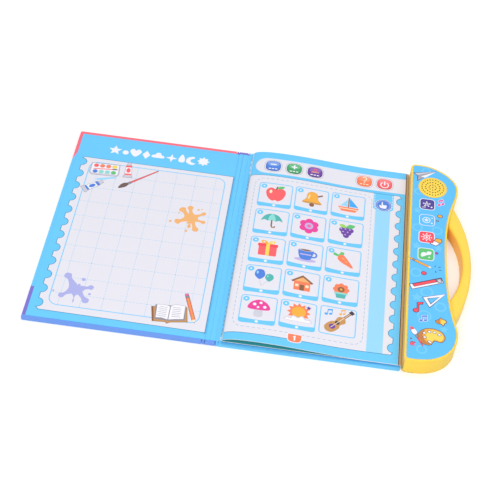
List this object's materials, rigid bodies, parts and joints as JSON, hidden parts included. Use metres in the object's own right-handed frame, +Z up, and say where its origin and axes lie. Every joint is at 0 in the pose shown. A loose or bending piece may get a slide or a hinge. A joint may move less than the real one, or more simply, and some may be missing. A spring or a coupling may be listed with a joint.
{
  "type": "children's sound book",
  "caption": "Hard-cover picture book lying open, with stitched pages over a touch pad and a yellow speaker console with a carry handle along its right edge.",
  "frame": {"origin": "middle of the gutter where the pages are stitched, on the table face of the back board", "axes": "+X from the front cover towards the console, +Y up the page, +Z up from the table"},
  "size_m": [0.3995, 0.252, 0.0182],
  "materials": {
    "cover_wrap": "printed paper wrap, satin laminate",
    "lining": "printed lining paper, satin",
    "white_film": "wipe-clean film",
    "paper": "printed coated paper",
    "white_print": "unprinted coated paper",
    "membrane": "polyester membrane",
    "housing": "moulded ABS, satin",
    "label": "printed label, satin",
    "steel": "plated steel",
    "dark_steel": "pressed steel",
    "cone_paper": "pressed paper cone",
    "circuit": "solder mask",
    "black_plastic": "moulded resin",
    "cell_sleeve": "printed sleeve",
    "red_lead": "wire insulation",
    "black_lead": "wire insulation"
  },
  "bodies": {
    "base": {"back_board": "lining", "touch_pad": "membrane", "page_block": "paper", "page_panel_print": "white_print", "page_header_print": "white_print", "console_top_shell": "housing", "console_bottom_shell": "housing", "console_label": "label", "battery_door": "housing", "speaker_frame": "dark_steel", "speaker_cone": "cone_paper", "speaker_magnet": "steel", "circuit_board": "circuit", "sound_chip": "black_plastic", "memory_chip": "black_plastic", "capacitor": "cell_sleeve", "tail_connector": "black_plastic", "circuit_screw_1": "steel", "circuit_screw_2": "steel", "battery_1": "cell_sleeve", "battery_2": "cell_sleeve", "battery_3": "cell_sleeve", "battery_spring_1": "steel", "battery_spring_2": "steel", "battery_spring_3": "steel", "battery_contact_1": "steel", "battery_contact_2": "steel", "battery_contact_3": "steel", "battery_door_screw": "steel", "speaker_lead_red": "red_lead", "speaker_lead_black": "black_lead", "battery_lead_red": "red_lead", "battery_lead_black": "black_lead", "shell_screw_1": "steel", "shell_screw_2": "steel", "shell_screw_3": "steel", "shell_screw_4": "steel", "shell_screw_5": "steel", "shell_screw_6": "steel", "shell_screw_7": "steel", "shell_screw_8": "steel"},
    "spine": {"spine_board": "lining"},
    "front_cover": {"front_board": "cover_wrap", "front_lining": "lining", "drawing_panel": "white_film"}
  },
  "joints": [
    {"name": "spine_fold", "type": "hinge", "parent": "base", "child": "spine", "pos_m": [-0.005, 0, 0.0015], "axis": [0, 1, 0], "range_deg": [0, 90]},
    {"name": "front_cover_fold", "type": "hinge", "parent": "spine", "child": "front_cover", "pos_m": [-0.017, 0, 0.0015], "axis": [0, 1, 0], "range_deg": [0, 90]}
  ]
}
